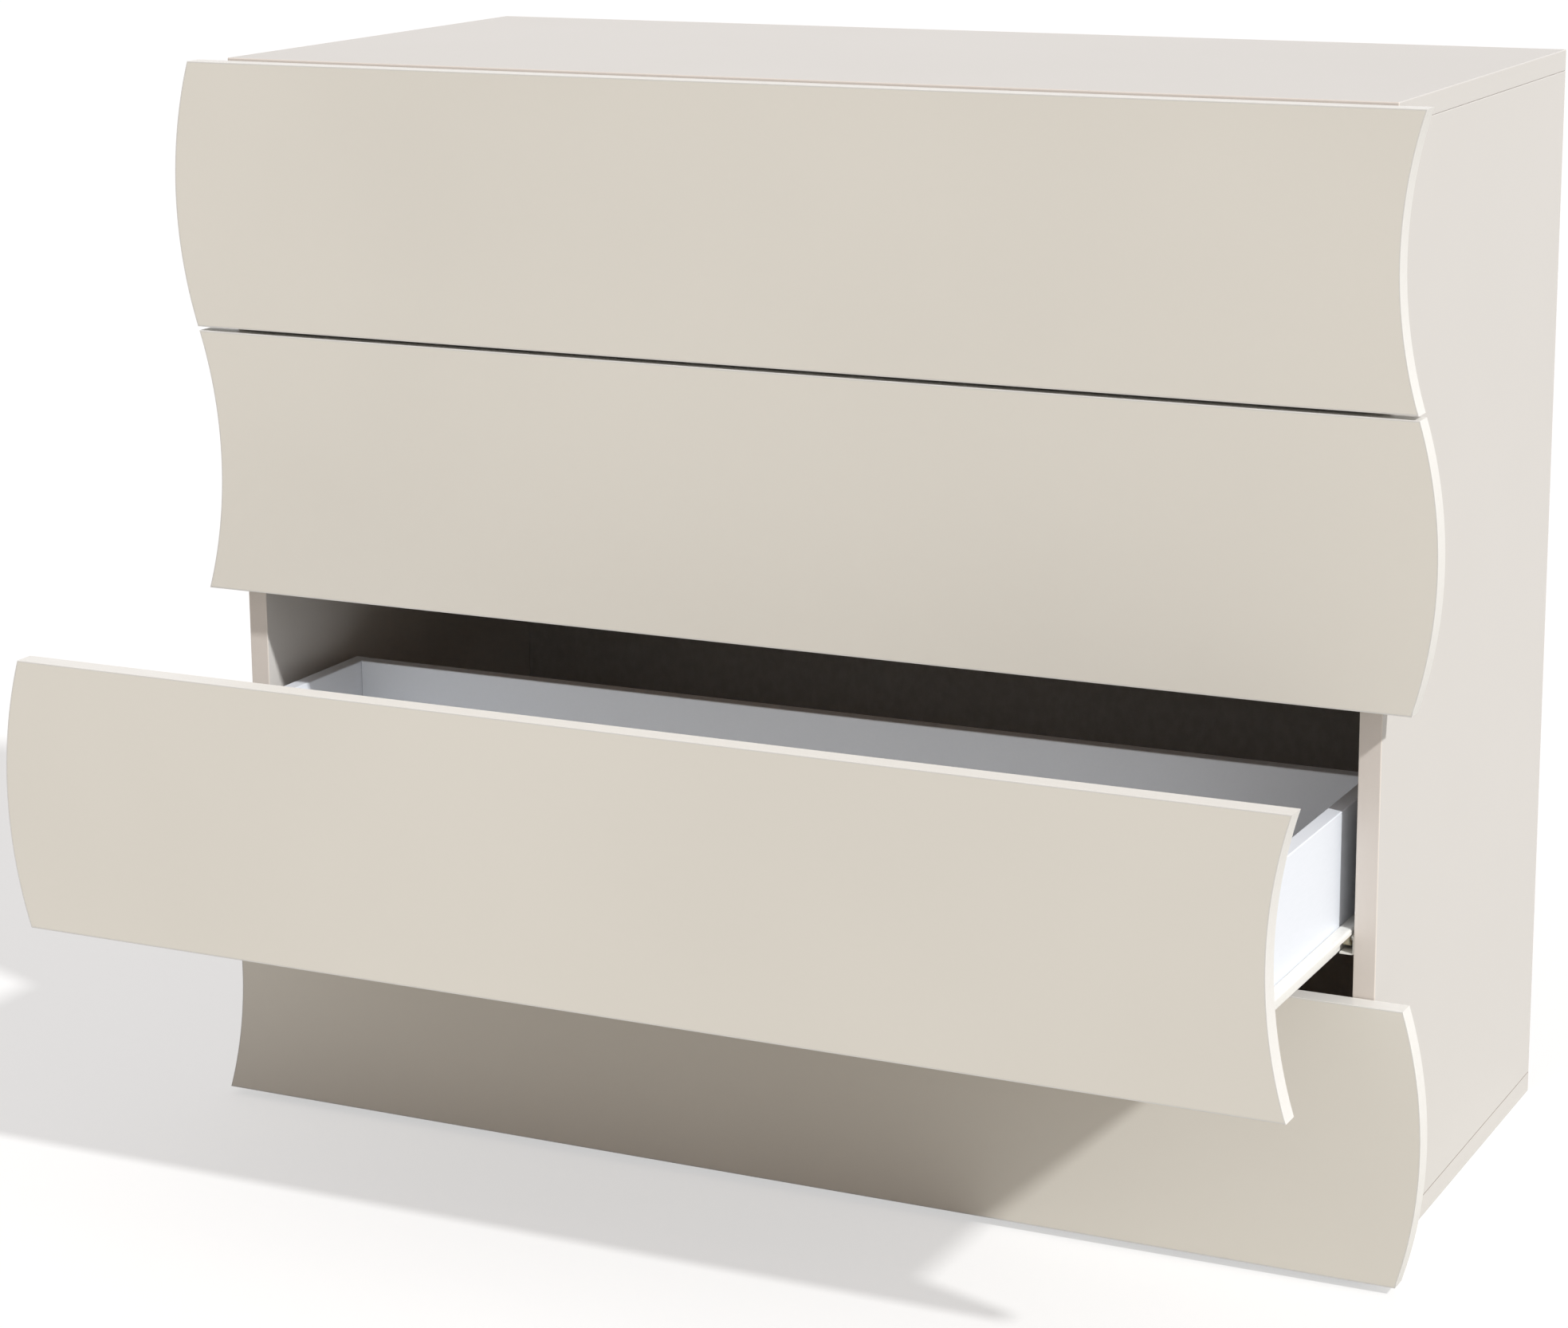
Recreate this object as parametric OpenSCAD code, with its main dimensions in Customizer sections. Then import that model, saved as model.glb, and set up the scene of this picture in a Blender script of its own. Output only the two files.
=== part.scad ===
// Chest of four drawers. The ends of the drawer fronts are cut as one long wave that runs from
// drawer to drawer, the carcass is a flat-pack box, and the drawer boxes run on steel roller runners.
// The third drawer from the top stands open.
// Millimetres. X runs to the right, Y to the back and Z up. The origin is the middle of the
// carcass's underside. Drawer 1 is the top one.

/* [Carcass] */
// Width over the two side panels
carcass_w = 920; // [700:5:1200]
// Depth of the side panels, from front edge to rear edge
carcass_d = 424; // [400:2:560]
// Height from the floor to the top face
carcass_h = 830; // [740:5:980]
// Thickness of the top, bottom and side panels
board_t = 16; // [15:0.5:19]

/* [Back panel] */
// Thickness of the back panel
back_t = 3; // [3:0.5:5]
// Distance from the carcass's rear edge to the back panel
back_inset = 10; // [8:1:16]
// Depth of the grooves that hold thin panels, in the carcass and in the drawers
groove_depth = 6; // [4:0.5:7]

/* [Drawer fronts] */
// Thickness of a front
front_t = 16; // [15:0.5:19]
// How far a front reaches past the carcass on each side, before the wave
front_overhang = 25; // [20:1:40]
// How far the wave swings out from its base line
wave = 16; // [6:1:18]
// Gap between one front and the next
front_gap = 3; // [2:0.5:5]
// Distance from the top face of the carcass to the first front
reveal_top = 2; // [1:0.5:6]
// Distance from the floor to the last front
reveal_bottom = 6; // [3:0.5:12]
// Gap between a closed front and the carcass
front_clear = 1; // [0.5:0.1:2]
// Thickness of the edge band round a front
band_t = 1; // [0.5:0.1:2]

/* [Drawer boxes] */
// Height of the sides and back of a drawer box
box_h = 100; // [85:1:140]
// Thickness of the sides and back of a drawer box
box_t = 12; // [12:0.5:15]
// Free depth between a closed drawer box and the back panel
back_room = 57; // [20:1:120]
// How far a drawer box reaches past the rear end of its runners
box_past = 3; // [1:0.5:8]
// Thickness of a drawer bottom
bottom_t = 3; // [3:0.5:5]
// Height of the drawer bottom above the lower edge of the box
bottom_up = 12; // [11:0.5:20]
// Height of the box's lower edge above the front's lower edge
box_up = 28; // [24:1:40]

/* [Runners] */
// Free width between a drawer side and the carcass, which holds the runner
runner_space = 12.5; // [12.2:0.1:14]
// Thickness of the runners' steel
steel_t = 1.2; // [1:0.1:1.4]
// Distance from the end of a profile to its roller's axis
roller_end = 9; // [8:0.5:14]
// Distance between the two roller axes of a runner when it is fully open
runner_hold = 69; // [60:1:100]
// How far the open drawer stands short of its full travel
open_short = 17; // [0:1:200]
// Diameter of the roller at the front of a rail
front_roller_d = 13; // [12:0.5:15]
// Diameter of the roller at the back of a drawer's runner
rear_roller_d = 10.4; // [9:0.2:12]
// Width of a roller
roller_w = 5.6; // [5:0.1:6]
// Diameter of a roller's axle
axle_d = 4; // [3:0.5:5]
// Running gap above and below a roller
roller_gap = 0.3; // [0.3:0.05:0.5]

/* [Fittings] */
// Diameter of the cams under the top panel
cam_d = 15; // [14:0.5:16]
// Distance from the board's end to the cams' centre
cam_set = 34; // [24:1:40]
// Diameter of the cams in the drawer sides
small_cam_d = 12; // [10:0.5:13]
// Diameter of the wooden dowels
dowel_d = 8; // [6:0.5:10]
// Length of the wooden dowels
dowel_l = 30; // [25:1:40]
// Length of the screws that hold the bottom panel
long_screw_l = 50; // [40:1:60]
// Distance from the carcass's front and rear edges to the nearest fitting
fitting_inset = 50; // [46:1:80]

/* [Hidden] */

$fn = 36;

// Clearances
fit = 0.05;        // radial, round a pin, screw or dowel in its hole
groove_fit = 0.1;  // on each face of a thin panel in its groove
groove_end = 0.5;  // between a thin panel's edge and the floor of its groove
hole_end = 0.5;    // left free at the end of a blind hole
over = 1;          // how far a cut runs past the face that it opens

// Carcass
half_w = carcass_w / 2;
inner_x = half_w - board_t;
front_y = -carcass_d / 2;
rear_y = carcass_d / 2;
side_h = carcass_h - 2 * board_t;
groove_w = back_t + 2 * groove_fit;
groove_y = rear_y - back_inset - groove_w + groove_fit;

// Fronts
drawer_count = 4;
front_w = carcass_w + 2 * front_overhang;
front_h = (carcass_h - reveal_top - reveal_bottom - (drawer_count - 1) * front_gap) / drawer_count;
pitch = front_h + front_gap;
wave_r = (pitch * pitch / 4 + wave * wave) / (2 * wave);
function front_z(i) = reveal_bottom + (drawer_count - i) * pitch;
function bulge(i) = i % 2 == 1 ? -1 : 1;

// Drawer boxes, in a drawer's own frame: Y = 0 is the rear face of its front and Z = 0 the lower edge
box_x = inner_x - runner_space;
box_in = box_x - box_t;
profile_start = 2;
box_l = carcass_d + front_clear - back_inset - back_t - back_room;
runner_l = box_l - profile_start - box_past;  // length of the steel profiles
box_groove_w = bottom_t + 2 * groove_fit;
bottom_z = box_up + bottom_up + groove_fit;

// Runner section: U is measured outwards from the drawer side, and Z from the box's lower edge
head_t = 0.6;                                // head of an axle
head_d = 6;
web_gap = 0.4;                               // between an axle's head and the other profile
play = 0.2;                                  // at each end of a roller
roller_u = steel_t + web_gap + head_t + play;
roller_far = roller_u + roller_w;
lip_gap = 1.1;                               // between a front roller and the lip
lip_h = 2.8;                                 // how far the lip hangs below the running face
lip_u = roller_far + lip_gap;                // inner face of the lip
rail_u = runner_space - steel_t;             // inner face of the rail's web
rail_edge_gap = 0.7;
rail_flange_u = steel_t + rail_edge_gap;     // free edge of the rail's flanges
leg_w = box_t - 1;                           // leg under the drawer side
channel_h = rear_roller_d + 3 * roller_gap;  // height inside the rail
rail_top = channel_h + steel_t;
lip_z = rail_top + 1;
flange_z = lip_z + lip_h;                    // running face of the drawer's profile
front_roller_z = flange_z - roller_gap - front_roller_d / 2;
rear_roller_z = roller_gap + rear_roller_d / 2;
roller_chamfer = 0.4;
roller_recess = 0.5;                         // depth of the ring sunk in each face of a roller
hub_wall = 1.2;

// Runner along Y
rail_start = front_y + 1;
front_roller_y = rail_start + roller_end;
rear_roller_y = profile_start + runner_l - roller_end;
closed_y = front_y - front_clear;            // rear face of a closed front
travel = closed_y + rear_roller_y - front_roller_y - runner_hold;
function opening(i) = i == 3 ? travel - open_short : 0;

// Stop that the rear roller meets at full travel
stop_drop = 1.6;
stop_t = 1.5;
stop_free = 0.6;
stop_margin = 0.6;                           // the stop is this much narrower than the roller at each side
stop_rise = channel_h - stop_drop - rear_roller_z;
stop_y = front_roller_y + runner_hold - sqrt(pow(rear_roller_d / 2, 2) - pow(stop_rise, 2)) - stop_free;

// Cams, and the bolts that they draw in
cam_h = board_t - 3.5;
cam_cavity = 7.6;
bolt_d = 5;
bolt_head_d = 6.8;
bolt_head_l = 3;
bolt_thread_d = 6;
bolt_thread_l = 11;
small_cam_h = box_t - 2;
small_cam_set = 24;
small_cavity = 6.6;
small_bolt_d = 4;
small_head_d = 5.8;
small_head_l = 2.4;
cam_slot = 1.6;
cam_slot_depth = 1.5;
cam_rim = 2;

// Screws and dowels
long_screw_d = 6.4;
long_head_d = 9.6;
long_head_t = 3;
long_head_z = 0.6;
socket_d = 4.6;
socket_depth = 2.5;
dowel_in = 11;     // part of a dowel that stands in the top panel
dowel_step = 64;
screw_d = 3.5;
screw_head_d = 7;
screw_head_t = 1.8;
screw_l = 12;
cross_w = 0.8;
cross_l = 4;
rail_screw_z = channel_h / 2;
profile_screw_l = 9;
profile_head_d = 6.5;
profile_head_t = 1.5;
end_screw_d = 4;
end_head_d = 7.4;
end_head_t = 2;
end_screw_l = 38;

// Where the fittings stand
rail_screw_first = 35;
rail_screw_last = 40;
profile_screw_end = 32;
cam_low = 18;      // centre of the lower cam above the drawer's bottom groove
cam_high = 20;     // centre of the upper cam below the side's top edge
end_low = 23;
end_high = 15;
fitting_rows = [front_y + fitting_inset, rear_y - fitting_inset];
dowel_rows = [front_y + fitting_inset + dowel_step, rear_y - fitting_inset - dowel_step];
long_screw_rows = [front_y + fitting_inset, 0, rear_y - fitting_inset];
rail_screw_rows = [for (y = [rail_screw_first, runner_l / 2, runner_l - rail_screw_last]) rail_start + y];
profile_screw_rows = [for (y = [profile_screw_end, runner_l / 2, runner_l - profile_screw_end])
                      profile_start + y];
cam_rows = [box_up + bottom_up + cam_low, box_up + box_h - cam_high];
end_screw_rows = [box_up + bottom_up + end_low, box_up + box_h - end_high];

// Colours
front_colour = "#d7d1c5";
band_colour = "#f3f1ee";
carcass_colour = "#c9c3bb";
back_colour = "#8f8c87";
box_colour = "#f4f5f5";
bottom_colour = "#e9eaea";
steel_colour = "#f2f2ef";
nylon_colour = "#e6e1d6";
zinc_colour = "#b9bcc0";
beech_colour = "#d9b98a";

// Mirrors its children to the left where s is -1
module on_side(s) {
    if (s < 0) mirror([1, 0, 0]) children();
    else children();
}

// Puts its children, drawn in a drawer's own frame, at drawer i
module at_drawer(i) {
    translate([0, closed_y - opening(i), front_z(i)]) children();
}

// Puts its children, drawn in the runner's section, beside the right-hand drawer side of drawer i
module at_rail(i) {
    translate([box_x, 0, front_z(i) + box_up]) children();
}

// A cylinder along X from x0 to x1
module x_rod(d, x0, x1) {
    translate([x0, 0, 0]) rotate([0, 90, 0]) cylinder(d = d, h = x1 - x0);
}

// Extrudes a section drawn in U and Z along Y
module along_y(y0, length) {
    translate([0, y0 + length, 0]) rotate([90, 0, 0]) linear_extrude(length) children();
}

// Groove for the back panel in a side panel, and in the top and bottom panels
module side_groove() {
    translate([inner_x - over, groove_y, 0]) cube([groove_depth + over, groove_w, carcass_h]);
}

module level_groove(z0) {
    translate([-inner_x - groove_depth, groove_y, z0])
        cube([2 * (inner_x + groove_depth), groove_w, groove_depth + over]);
}

// Panels of the carcass
module top_panel() {
    z0 = carcass_h - board_t;
    color(carcass_colour) difference() {
        translate([-half_w, front_y, z0]) cube([carcass_w, carcass_d, board_t]);
        level_groove(z0 - over);
        for (s = [-1, 1]) {
            x = s * (half_w - board_t / 2);
            for (y = fitting_rows) translate([x, y, z0 - over])
                cylinder(d = bolt_thread_d + 2 * fit, h = over + bolt_thread_l + hole_end);
            for (y = dowel_rows) translate([x, y, z0 - over])
                cylinder(d = dowel_d + 2 * fit, h = over + dowel_in + hole_end);
        }
    }
}

module bottom_panel() {
    color(carcass_colour) difference() {
        translate([-half_w, front_y, 0]) cube([carcass_w, carcass_d, board_t]);
        level_groove(board_t - groove_depth);
        for (s = [-1, 1]) for (y = long_screw_rows) translate([s * (half_w - board_t / 2), y, 0]) {
            translate([0, 0, -over]) cylinder(d = long_screw_d + 2 * fit, h = board_t + 2 * over);
            translate([0, 0, -over])
                cylinder(d = long_head_d + 2 * fit, h = over + long_head_z + long_head_t);
        }
    }
}

module side_panel() {
    color(carcass_colour) difference() {
        translate([inner_x, front_y, board_t]) cube([board_t, carcass_d, side_h]);
        side_groove();
        for (y = fitting_rows) {
            translate([0, y, carcass_h - board_t - cam_set])
                x_rod(cam_d + 2 * fit, inner_x - over, inner_x + cam_h + hole_end);
            translate([half_w - board_t / 2, y, carcass_h - board_t - cam_set])
                cylinder(d = cam_cavity, h = cam_set + over);
        }
        dowel_z = carcass_h - board_t - (dowel_l - dowel_in) - hole_end;
        for (y = dowel_rows) translate([half_w - board_t / 2, y, dowel_z])
            cylinder(d = dowel_d + 2 * fit, h = dowel_l);
        for (y = long_screw_rows) translate([half_w - board_t / 2, y, board_t - over])
            cylinder(d = long_screw_d + 2 * fit, h = long_head_z + long_screw_l - board_t + over + hole_end);
        screw_end = inner_x + screw_l - screw_head_t - steel_t + hole_end;
        for (i = [1:drawer_count]) for (y = rail_screw_rows)
            translate([0, y, front_z(i) + box_up + rail_screw_z])
                x_rod(screw_d + 2 * fit, inner_x - over, screw_end);
    }
}

module back_panel() {
    reach = groove_depth - groove_end;
    color(back_colour) translate([-inner_x - reach, groove_y + groove_fit, board_t - reach])
        cube([2 * (inner_x + reach), back_t, side_h + 2 * reach]);
}

// Fittings of the carcass
module cam(d, h, cavity, cavity_depth) {
    difference() {
        x_rod(d, 0, h);
        translate([cavity_depth, 0, -cavity / 2]) cylinder(d = cavity, h = d);
        translate([-over, -d / 2 + cam_rim, -cam_slot / 2])
            cube([over + cam_slot_depth, d - 2 * cam_rim, cam_slot]);
    }
}

module top_fittings() {
    z0 = carcass_h - board_t;
    for (s = [-1, 1]) on_side(s) {
        for (y = fitting_rows) {
            color(zinc_colour) translate([inner_x, y, z0 - cam_set])
                cam(cam_d, cam_h, cam_cavity, board_t / 2);
            color(zinc_colour) translate([half_w - board_t / 2, y, z0]) {
                cylinder(d = bolt_thread_d, h = bolt_thread_l);
                translate([0, 0, -cam_set]) cylinder(d = bolt_d, h = cam_set + over);
                translate([0, 0, -cam_set - bolt_head_l / 2]) cylinder(d = bolt_head_d, h = bolt_head_l);
            }
        }
        for (y = dowel_rows) color(beech_colour)
            translate([half_w - board_t / 2, y, z0 + dowel_in - dowel_l])
                cylinder(d = dowel_d, h = dowel_l);
    }
}

module bottom_screws() {
    for (s = [-1, 1]) for (y = long_screw_rows) color(zinc_colour)
        translate([s * (half_w - board_t / 2), y, long_head_z]) difference() {
            union() {
                cylinder(d = long_head_d, h = long_head_t);
                cylinder(d = long_screw_d, h = long_screw_l);
            }
            translate([0, 0, -over]) cylinder(d = socket_d, h = over + socket_depth, $fn = 6);
        }
}

// A pan-head screw along X whose head seats on x = 0 and whose shank runs outwards
module rail_screw() {
    difference() {
        union() {
            x_rod(screw_head_d, -screw_head_t, 0);
            x_rod(screw_d, -over / 2, screw_l - screw_head_t);
        }
        for (a = [0, 90]) rotate([a, 0, 0]) translate([-screw_head_t - over, -cross_l / 2, -cross_w / 2])
            cube([over + screw_head_t / 2, cross_l, cross_w]);
    }
}

module rail_screws() {
    for (i = [1:drawer_count]) for (s = [-1, 1]) on_side(s) for (y = rail_screw_rows) color(zinc_colour)
        at_rail(i) translate([rail_u, y, rail_screw_z]) rail_screw();
}

// Rail on the carcass: a channel that opens towards the drawer, with the front roller's axle
module rail_section(top_flange) {
    translate([rail_u, -steel_t]) square([steel_t, rail_top + steel_t]);
    translate([rail_flange_u, -steel_t]) square([runner_space - rail_flange_u, steel_t]);
    if (top_flange) translate([rail_flange_u, channel_h]) square([runner_space - rail_flange_u, steel_t]);
}

module rail(i) {
    flange_start = roller_end + front_roller_d / 2 + 2;  // the upper flange leaves the front roller free
    color(steel_colour) at_rail(i) difference() {
        union() {
            along_y(rail_start, flange_start) rail_section(false);
            along_y(rail_start + flange_start, runner_l - flange_start) rail_section(true);
            translate([0, front_roller_y, front_roller_z]) {
                x_rod(head_d, roller_far + play, rail_u + steel_t / 2);
                x_rod(axle_d, roller_u - play, rail_u);
                x_rod(head_d, roller_u - play - head_t, roller_u - play);
            }
            translate([roller_u + stop_margin, stop_y - stop_t, channel_h - stop_drop])
                cube([roller_w - 2 * stop_margin, stop_t, stop_drop + steel_t / 2]);
        }
        for (y = rail_screw_rows) translate([0, y, rail_screw_z])
            x_rod(screw_d + 2 * fit, rail_u - over, runner_space + over);
    }
}

// A roller with its left-hand face on x = 0
module roller(d) {
    bore_r = axle_d / 2 + fit;
    tread_r = d / 2;
    shoulder_r = tread_r - roller_chamfer;
    hub_r = axle_d / 2 + hub_wall;
    rotate([0, 90, 0]) rotate_extrude() difference() {
        polygon([[bore_r, 0], [shoulder_r, 0], [tread_r, roller_chamfer],
                 [tread_r, roller_w - roller_chamfer], [shoulder_r, roller_w], [bore_r, roller_w]]);
        for (z = [roller_recess - over, roller_w - roller_recess])
            translate([hub_r, z]) square([(tread_r - hub_r) / 2, over]);
    }
}

module front_rollers(i) {
    for (s = [-1, 1]) on_side(s) color(nylon_colour) at_rail(i)
        translate([roller_u, front_roller_y, front_roller_z]) roller(front_roller_d);
}

// Outline of drawer front i, seen from the front, less an edge of the given width all round.
// The bulging end is an arc of a circle, and the other end is cut by an arc of the same circle.
module front_outline(i, edge) {
    arc_x = front_w / 2 + wave - wave_r;
    mirror([bulge(i) < 0 ? 1 : 0, 0]) intersection() {
        translate([-front_w, edge]) square([2 * front_w, front_h - 2 * edge]);
        difference() {
            union() {
                translate([-front_w / 2, 0]) square([front_w, front_h]);
                translate([arc_x, front_h / 2]) circle(r = wave_r - edge, $fn = 240);
            }
            translate([arc_x - front_w, front_h / 2]) circle(r = wave_r + edge, $fn = 240);
        }
    }
}

// Everything that follows is drawn in a drawer's own frame
module front_slab(i, edge) {
    rotate([90, 0, 0]) linear_extrude(front_t) front_outline(i, edge);
}

module bottom_groove() {
    translate([-box_in - groove_depth, -groove_depth, box_up + bottom_up])
        cube([2 * (box_in + groove_depth), box_l + groove_depth + over, box_groove_w]);
}

module drawer_front(i) {
    color(front_colour) at_drawer(i) difference() {
        front_slab(i, band_t);
        bottom_groove();
        for (s = [-1, 1]) for (z = cam_rows)
            translate([s * (box_x - box_t / 2), over, z]) rotate([90, 0, 0])
                cylinder(d = bolt_thread_d + 2 * fit, h = over + bolt_thread_l + hole_end);
    }
}

module drawer_edge_band(i) {
    color(band_colour) at_drawer(i) difference() {
        front_slab(i, 0);
        translate([0, over, 0]) rotate([90, 0, 0]) linear_extrude(front_t + 2 * over)
            front_outline(i, band_t);
    }
}

module drawer_side(i) {
    color(box_colour) at_drawer(i) difference() {
        translate([box_in, 0, box_up]) cube([box_t, box_l, box_h]);
        bottom_groove();
        for (z = cam_rows) {
            translate([0, small_cam_set, z])
                x_rod(small_cam_d + 2 * fit, box_in - over, box_in + small_cam_h + hole_end);
            translate([box_x - box_t / 2, -over, z]) rotate([-90, 0, 0])
                cylinder(d = small_cavity, h = small_cam_set + over);
        }
        for (z = end_screw_rows) translate([0, box_l - box_t / 2, z]) {
            x_rod(end_screw_d + 2 * fit, box_in - over, box_x + over);
            x_rod(end_head_d + 2 * fit, box_x - end_head_t, box_x + over);
        }
        for (y = profile_screw_rows) translate([box_x - box_t / 2, y, box_up - over])
            cylinder(d = screw_d + 2 * fit, h = over + profile_screw_l - steel_t + hole_end);
    }
}

module drawer_back(i) {
    z0 = bottom_z + bottom_t;
    color(box_colour) at_drawer(i) difference() {
        translate([-box_in, box_l - box_t, z0]) cube([2 * box_in, box_t, box_up + box_h - z0]);
        for (s = [-1, 1]) on_side(s) for (z = end_screw_rows) translate([0, box_l - box_t / 2, z])
            x_rod(end_screw_d + 2 * fit, box_x - end_screw_l - hole_end, box_in + over);
    }
}

module drawer_bottom(i) {
    reach = groove_depth - groove_end;
    color(bottom_colour) at_drawer(i) translate([-box_in - reach, -reach, bottom_z])
        cube([2 * (box_in + reach), box_l + reach, bottom_t]);
}

// Profile on the drawer: a leg under the side, a web beside it and a flange with a lip that runs on the
// front roller. The rear roller's axle stands out of the web.
module drawer_runner(i) {
    color(steel_colour) at_drawer(i) translate([box_x, 0, box_up]) difference() {
        union() {
            along_y(profile_start, runner_l) {
                translate([-leg_w, -steel_t]) square([leg_w + steel_t, steel_t]);
                translate([0, -steel_t]) square([steel_t, flange_z + 2 * steel_t]);
                translate([0, flange_z]) square([lip_u + steel_t, steel_t]);
                translate([lip_u, lip_z]) square([steel_t, flange_z + steel_t - lip_z]);
            }
            translate([0, rear_roller_y, rear_roller_z]) {
                x_rod(head_d, steel_t / 2, roller_u - play);
                x_rod(axle_d, steel_t / 2, roller_far + play);
                x_rod(head_d, roller_far + play, roller_far + play + head_t);
            }
        }
        for (y = profile_screw_rows) translate([-box_t / 2, y, -steel_t - over])
            cylinder(d = screw_d + 2 * fit, h = steel_t + 2 * over);
    }
}

module rear_rollers(i) {
    for (s = [-1, 1]) on_side(s) color(nylon_colour) at_drawer(i)
        translate([box_x + roller_u, rear_roller_y, box_up + rear_roller_z]) roller(rear_roller_d);
}

module drawer_fittings(i) {
    for (s = [-1, 1]) on_side(s) color(zinc_colour) at_drawer(i) {
        for (z = cam_rows) {
            translate([box_in, small_cam_set, z]) rotate([90, 0, 0])
                cam(small_cam_d, small_cam_h, small_cavity, box_t / 2);
            translate([box_x - box_t / 2, 0, z]) rotate([90, 0, 0]) {
                cylinder(d = bolt_thread_d, h = bolt_thread_l);
                translate([0, 0, -small_cam_set]) cylinder(d = small_bolt_d, h = small_cam_set + over);
                translate([0, 0, -small_cam_set - small_head_l / 2])
                    cylinder(d = small_head_d, h = small_head_l);
            }
        }
        for (z = end_screw_rows) translate([0, box_l - box_t / 2, z]) {
            x_rod(end_screw_d, box_x - end_screw_l, box_x - end_head_t / 2);
            x_rod(end_head_d, box_x - end_head_t, box_x);
        }
        for (y = profile_screw_rows) translate([box_x - box_t / 2, y, box_up - steel_t]) {
            translate([0, 0, -profile_head_t]) cylinder(d = profile_head_d, h = profile_head_t);
            translate([0, 0, -profile_head_t / 2])
                cylinder(d = screw_d, h = profile_screw_l + profile_head_t / 2);
        }
    }
}

top_panel();
bottom_panel();
on_side(-1) side_panel();  // left_side_panel
side_panel();  // right_side_panel
back_panel();
top_fittings();
bottom_screws();
rail_screws();
for (i = [1:drawer_count]) {
    on_side(-1) rail(i);
    rail(i);
    front_rollers(i);
    drawer_front(i);
    drawer_edge_band(i);
    on_side(-1) drawer_side(i);
    drawer_side(i);
    drawer_back(i);
    drawer_bottom(i);
    on_side(-1) drawer_runner(i);
    drawer_runner(i);
    rear_rollers(i);
    drawer_fittings(i);
}
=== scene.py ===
# Looks of a chest of four drawers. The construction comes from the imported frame, and every piece made here
# sits where the frame puts it. Metres; X runs to the right, Y to the back and Z up. Drawer 1 is the top one
import math

import bmesh
import bpy
import numpy as np
from mathutils import Matrix, Vector


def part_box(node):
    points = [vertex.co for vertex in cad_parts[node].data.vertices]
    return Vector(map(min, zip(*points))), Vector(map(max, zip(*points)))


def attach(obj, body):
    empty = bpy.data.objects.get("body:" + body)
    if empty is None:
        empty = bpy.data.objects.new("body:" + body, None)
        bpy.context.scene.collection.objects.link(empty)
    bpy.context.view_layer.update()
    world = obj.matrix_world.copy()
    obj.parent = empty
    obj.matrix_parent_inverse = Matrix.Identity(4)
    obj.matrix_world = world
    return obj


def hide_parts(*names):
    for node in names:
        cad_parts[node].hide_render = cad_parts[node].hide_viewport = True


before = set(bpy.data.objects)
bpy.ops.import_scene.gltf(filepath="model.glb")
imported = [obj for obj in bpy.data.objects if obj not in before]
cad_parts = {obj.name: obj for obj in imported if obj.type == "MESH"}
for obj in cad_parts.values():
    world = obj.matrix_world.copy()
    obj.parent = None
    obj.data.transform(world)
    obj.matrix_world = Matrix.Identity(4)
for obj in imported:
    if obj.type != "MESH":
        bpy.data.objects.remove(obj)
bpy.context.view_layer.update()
mm = 0.001
drawers = [1, 2, 3, 4]
hands = {"left": -1, "right": 1}
print("frame loaded with", len(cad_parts), "nodes")


# Camera, in the photograph's place. Angles in degrees, lens and sensor in millimetres
viewpoint = {
    "place": (1.2084, -2.6740, 1.0889),
    "turn": 26.014,  # to the left of +Y
    "tilt": -12.891,  # above level
    "roll": -0.469,
    "lens": 88.5,
    "sensor": 36,
    "shift": -0.05,  # of the frame's width, downwards
}


def addCamera(v):
    data = bpy.data.cameras.new("camera")
    data.sensor_width = v["sensor"]
    data.lens = v["lens"]
    data.shift_y = v["shift"]
    camera = bpy.data.objects.new("camera", data)
    bpy.context.scene.collection.objects.link(camera)
    turns = (("Z", v["turn"]), ("X", 90 + v["tilt"]), ("Z", v["roll"]))
    turn, tilt, roll = [Matrix.Rotation(math.radians(angle), 4, axis) for axis, angle in turns]
    camera.matrix_world = Matrix.Translation(v["place"]) @ (turn @ tilt) @ roll
    bpy.context.scene.camera = camera


addCamera(viewpoint)
print("camera placed")


# Shader maths. A Wire is a node's output, and + - * on it add Math nodes, so formulas read as written
class Wire:
    def __init__(self, finish, plug):
        self.finish = finish
        self.plug = plug

    def __add__(self, other):
        return self.finish.maths("ADD", self, other)

    __radd__ = __add__

    def __mul__(self, other):
        return self.finish.maths("MULTIPLY", self, other)

    __rmul__ = __mul__

    def __sub__(self, other):
        return self.finish.maths("SUBTRACT", self, other)

    def __rsub__(self, other):
        return self.finish.maths("SUBTRACT", other, self)


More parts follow.
